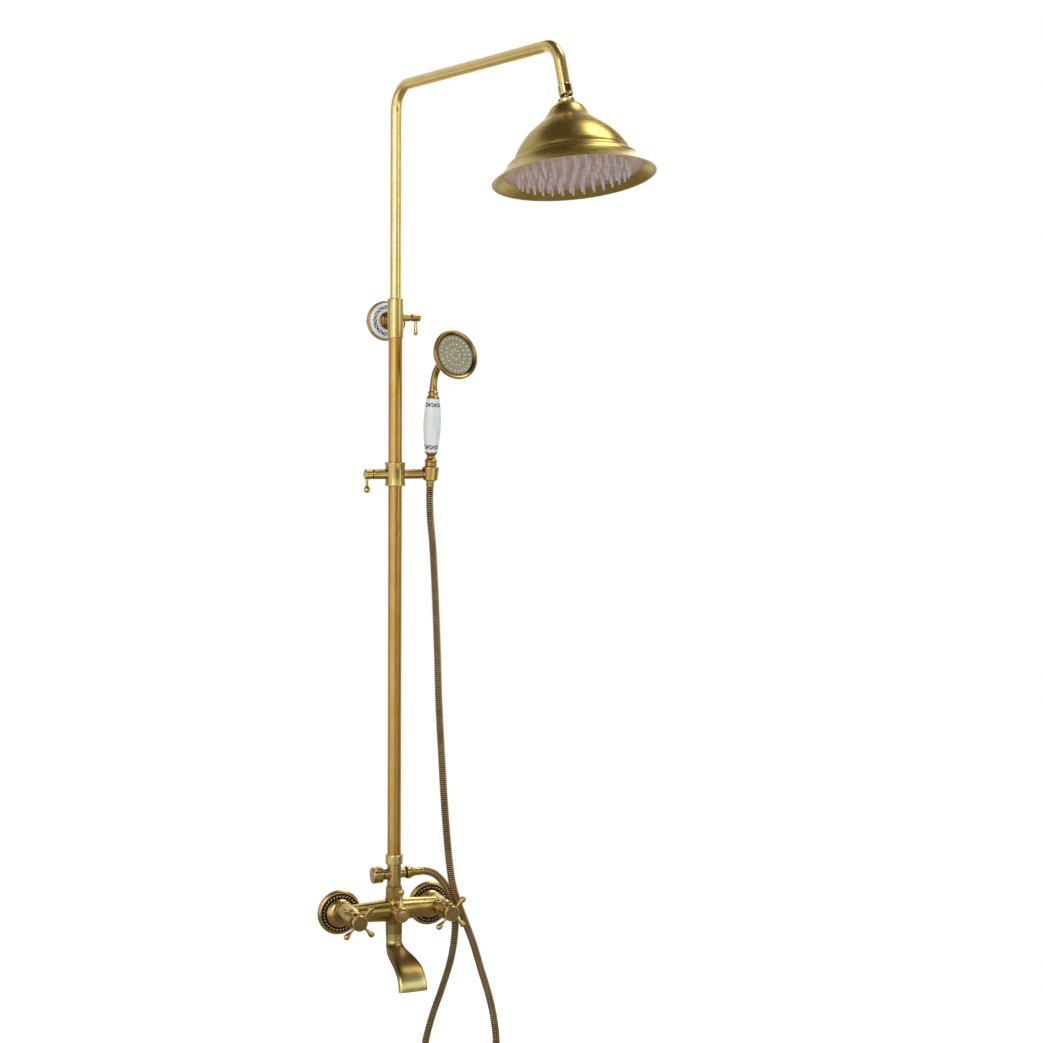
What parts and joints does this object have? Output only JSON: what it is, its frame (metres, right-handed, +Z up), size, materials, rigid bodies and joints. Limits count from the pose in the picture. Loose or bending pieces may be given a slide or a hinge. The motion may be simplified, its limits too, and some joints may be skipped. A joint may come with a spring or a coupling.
{
  "type": "rainfall shower column",
  "caption": "Wall-mounted exposed shower column: bath mixer with cross handles, telescopic riser, bell rain head on a swivel arm, and a hand shower on a sliding holder.",
  "frame": {"origin": "wall plane, midway between the two wall inlets", "axes": "+X to the right as one faces the wall, +Y into the wall, +Z up along the riser"},
  "size_m": [0.301, 0.649, 1.6163],
  "materials": {
    "antique_brass": "brushed antique brass, satin, darker in the recesses",
    "pale_brass": "brushed pale brass, satin",
    "steel": "plain machined steel",
    "glazed_ceramic": "white glazed ceramic with a painted floral band",
    "clear_silicone": "translucent grey-white silicone",
    "nylon": "off-white nylon",
    "spray_plate": "satin plate, warm beige",
    "black_rubber": "black rubber",
    "hose_metal": "ribbed brown-bronze metal hose"
  },
  "bodies": {
    "fixed": {"hot_union": "antique_brass", "cold_union": "antique_brass", "hot_rosette": "antique_brass", "cold_rosette": "antique_brass", "hot_rope_ring": "pale_brass", "cold_rope_ring": "pale_brass", "hot_union_nut": "antique_brass", "cold_union_nut": "antique_brass", "mixer_body": "antique_brass", "hot_cartridge": "steel", "cold_cartridge": "steel", "hot_bonnet": "antique_brass", "cold_bonnet": "antique_brass", "spout_collar": "pale_brass", "diverter_bonnet": "antique_brass", "riser_nut": "pale_brass", "selector_body": "antique_brass", "outlet_seal": "black_rubber", "hose_end_nut": "antique_brass", "hose_end_ferrule": "antique_brass", "riser_collar": "pale_brass", "lower_riser": "antique_brass", "wall_flange": "antique_brass", "flange_ceramic": "glazed_ceramic", "flange_boss": "antique_brass", "flange_screws": "steel", "riser_sleeve": "pale_brass", "shower_hose": "hose_metal"},
    "hot_tap": {"hot_stem": "steel", "hot_handle": "antique_brass", "hot_disc": "pale_brass"},
    "cold_tap": {"cold_stem": "steel", "cold_handle": "antique_brass", "cold_disc": "pale_brass"},
    "spout": {"bath_spout": "antique_brass"},
    "diverter": {"diverter_lever": "pale_brass"},
    "selector": {"selector_knob": "antique_brass"},
    "riser_lock": {"riser_lock_lever": "antique_brass"},
    "riser_guide": {"guide_bush": "nylon"},
    "arm": {"upper_riser": "pale_brass", "ball_nut": "pale_brass"},
    "swivel": {"ball_seat": "nylon"},
    "head": {"swivel_ball": "pale_brass", "head_nut": "pale_brass", "bell_shell": "antique_brass", "spray_plate": "spray_plate", "head_nozzles": "clear_silicone"},
    "slider_carrier": {"slider_liner": "nylon"},
    "slider": {"slider_sleeve": "antique_brass"},
    "slider_lock": {"slider_lock_lever": "antique_brass"},
    "holder": {"holder": "antique_brass", "holder_insert": "nylon"},
    "handset": {"hose_cone_nut": "antique_brass", "hose_top_ferrule": "antique_brass", "lower_ferrule": "antique_brass", "ceramic_handle": "glazed_ceramic", "handset_neck": "antique_brass", "handset_head": "antique_brass", "handset_plate": "spray_plate", "handset_nozzles": "clear_silicone"}
  },
  "joints": [
    {"name": "hot_turn", "type": "hinge", "parent": "fixed", "child": "hot_tap", "pos_m": [-0.075, -0.099, 0.008], "axis": [0, -1, 0], "range_deg": [0, 90]},
    {"name": "cold_turn", "type": "hinge", "parent": "fixed", "child": "cold_tap", "pos_m": [0.075, -0.099, 0.008], "axis": [0, 1, 0], "range_deg": [0, 90]},
    {"name": "spout_swivel", "type": "hinge", "parent": "fixed", "child": "spout", "pos_m": [0, -0.046, -0.034], "axis": [0, 0, 1], "range_deg": [-45, 45]},
    {"name": "diverter_turn", "type": "hinge", "parent": "fixed", "child": "diverter", "pos_m": [0, -0.079, 0.008], "axis": [0, -1, 0], "range_deg": [-90, 0]},
    {"name": "selector_turn", "type": "hinge", "parent": "fixed", "child": "selector", "pos_m": [-0.026, -0.046, 0.065], "axis": [-1, 0, 0], "range_deg": [0, 90]},
    {"name": "riser_lock_turn", "type": "hinge", "parent": "fixed", "child": "riser_lock", "pos_m": [0.033, -0.046, 0.928], "axis": [1, 0, 0], "range_deg": [-90, 90]},
    {"name": "riser_height", "type": "slide", "parent": "fixed", "child": "riser_guide", "axis": [0, 0, 1], "range_m": [-0.12, 0.16]},
    {"name": "arm_swivel", "type": "hinge", "parent": "riser_guide", "child": "arm", "pos_m": [0, -0.046, 1.2], "axis": [0, 0, 1], "range_deg": [-85, 60]},
    {"name": "head_tilt", "type": "hinge", "parent": "arm", "child": "swivel", "pos_m": [0.07837, -0.49047, 1.21038], "axis": [0.9848, 0.1736, 0], "range_deg": [-4.5, 17.5]},
    {"name": "head_side_tilt", "type": "hinge", "parent": "swivel", "child": "head", "pos_m": [0.07837, -0.49047, 1.21038], "axis": [0.1736, -0.9848, 0], "range_deg": [-10, 10]},
    {"name": "slider_height", "type": "slide", "parent": "fixed", "child": "slider_carrier", "axis": [0, 0, 1], "range_m": [-0.25, 0.185], "deforming": ["shower_hose"]},
    {"name": "slider_swivel", "type": "hinge", "parent": "slider_carrier", "child": "slider", "pos_m": [0, -0.046, 0.688], "axis": [0, 0, 1], "range_deg": [-60, 15]},
    {"name": "slider_lock_turn", "type": "hinge", "parent": "slider", "child": "slider_lock", "pos_m": [-0.044, -0.046, 0.688], "axis": [-1, 0, 0], "range_deg": [-90, 90]},
    {"name": "holder_tilt", "type": "hinge", "parent": "slider", "child": "holder", "pos_m": [0.058, -0.046, 0.688], "axis": [1, 0, 0], "range_deg": [-20, 35]},
    {"name": "handset_lift", "type": "slide", "parent": "holder", "child": "handset", "axis": [0, -0.0872, 0.9962], "range_m": [0, 0.05]}
  ]
}
